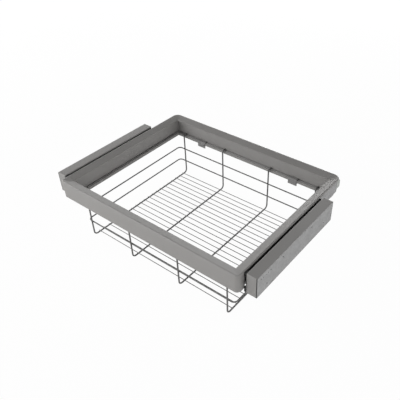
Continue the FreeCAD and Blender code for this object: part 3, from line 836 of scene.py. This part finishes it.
low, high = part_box("clip_screws")
screw_z = (low.z + high.z) / 2
screw_x = (low.x + HEAD_RADIUS, high.x - HEAD_RADIUS)
screws = []
for x in screw_x:
    for sign in (-1, 1):
        head_y = sign * (high.y - SCREW_LENGTH)
        screws.append(screw_mesh(x, head_y, screw_z, -sign))
mesh = merged_mesh("clip_screws_turned", screws)
add_piece("clip_screws_turned", mesh, "drawer", screw_steel, ["clip_screws"])
print("clip screws", len(screws), "at x", [round(x, 4) for x in screw_x])

# %% [markdown]
# ## Floor
# The photograph has a plain white ground. The floor's own colour is a pale grey which throws light up
# under the frame as a table would, and what the camera sees of it is mostly a white glow of strength 1,
# so that only a faint shadow of the basket is left.

# %% Floor
WHITE = (1.0, 1.0, 1.0, 1.0)
TABLE_GREY = (0.8, 0.8, 0.8, 1.0)
FLOOR_REACH = 6.0
FLOOR_DROP = 0.0005
SHADOW_SHARE = 0.03
floor_mesh = bpy.data.meshes.new("floor")
floor_mesh.from_pydata(
    [(x * FLOOR_REACH, y * FLOOR_REACH, -FLOOR_DROP) for x, y in ((-1, -1), (1, -1), (1, 1), (-1, 1))],
    [], [(0, 1, 2, 3)])
floor = bpy.data.objects.new("floor", floor_mesh)
bpy.context.scene.collection.objects.link(floor)

ground = Finish("floor_white")
rays = "ShaderNodeLightPath"
seen = ground.node(rays, output="Is Camera Ray") + ground.node(rays, output="Is Transmission Ray")
matt = ground.node("ShaderNodeBsdfDiffuse", None, {"Color": TABLE_GREY})
glow = ground.node("ShaderNodeEmission", None, {"Color": WHITE, "Strength": 1.0})
mixed = ground.node("ShaderNodeMixShader", None, {0: seen * (1 - SHADOW_SHARE), 1: matt, 2: glow})
ground.put_out(mixed)
floor_mesh.materials.append(ground.material)
print("floor keeps", SHADOW_SHARE, "of its shadow")

# %% [markdown]
# ## World
# Beyond the floor the camera sees pure white. The same world lights the drawer only faintly, because an
# even glow from all sides would wash out the tones that tell one face from the next.

# %% World
WORLD_LIGHT = 0.04
studio = Backdrop("studio")
camera_ray = studio.node("ShaderNodeLightPath", output="Is Camera Ray")
lit = studio.node("ShaderNodeBackground", None, {"Color": WHITE, "Strength": WORLD_LIGHT})
white = studio.node("ShaderNodeBackground", None, {"Color": WHITE, "Strength": 1.0})
studio.put_out(studio.node("ShaderNodeMixShader", None, {0: camera_ray, 1: lit, 2: white}),
               "ShaderNodeOutputWorld")
bpy.context.scene.world = studio.world
print("world light", WORLD_LIGHT)

# %% [markdown]
# ## Lamps
# White walls all round the table light the drawer in the photograph: the tall faces are brighter than the
# tops, and no lamp leaves a hard highlight. Six soft boxes stand in for those walls, each given by its
# direction seen from above, its height as an angle, and its power.

# %% Lamps
LAMP_DISTANCE = 3.2
LAMP_SIZE = (3.0, 1.3)
AIM = (0.0, 0.0, 0.1)
# Name, azimuth and elevation in degrees, power in watts
LAMPS = [
    ("front_left_low", -20, 8, 42.0),
    ("front_left_high", -30, 35, 46.0),
    ("left_wall", -80, 15, 43.0),
    ("right_wall", 90, 12, 60.0),
    ("back_left_wall", -130, 14, 33.0),
    ("back_wall", -175, 5, 92.0),
]


def soft_box(name, azimuth, elevation, power):
    """A rectangular lamp on a sphere round the drawer, facing its middle, unseen by the camera."""
    a, e = math.radians(azimuth), math.radians(elevation)
    direction = Vector((math.sin(a) * math.cos(e), -math.cos(a) * math.cos(e), math.sin(e)))
    data = bpy.data.lights.new(name, "AREA")
    data.shape = "RECTANGLE"
    data.size, data.size_y = LAMP_SIZE
    data.energy = power
    lamp = bpy.data.objects.new(name, data)
    lamp.location = Vector(AIM) + direction * LAMP_DISTANCE
    lamp.rotation_euler = (-direction).to_track_quat("-Z", "Y").to_euler()
    lamp.visible_camera = False
    bpy.context.scene.collection.objects.link(lamp)


for lamp_settings in LAMPS:
    soft_box(*lamp_settings)
print("lamps", len(LAMPS), "watts in all", sum(lamp[3] for lamp in LAMPS))

# %% [markdown]
# ## Plain colours
# The Standard view shows a grey as it was written, which a film-like view would shift. The levels in this
# lesson were read off the photograph, so they need the plain one.

# %% Plain colours
bpy.context.scene.view_settings.view_transform = "Standard"
print("view", bpy.context.scene.view_settings.view_transform)
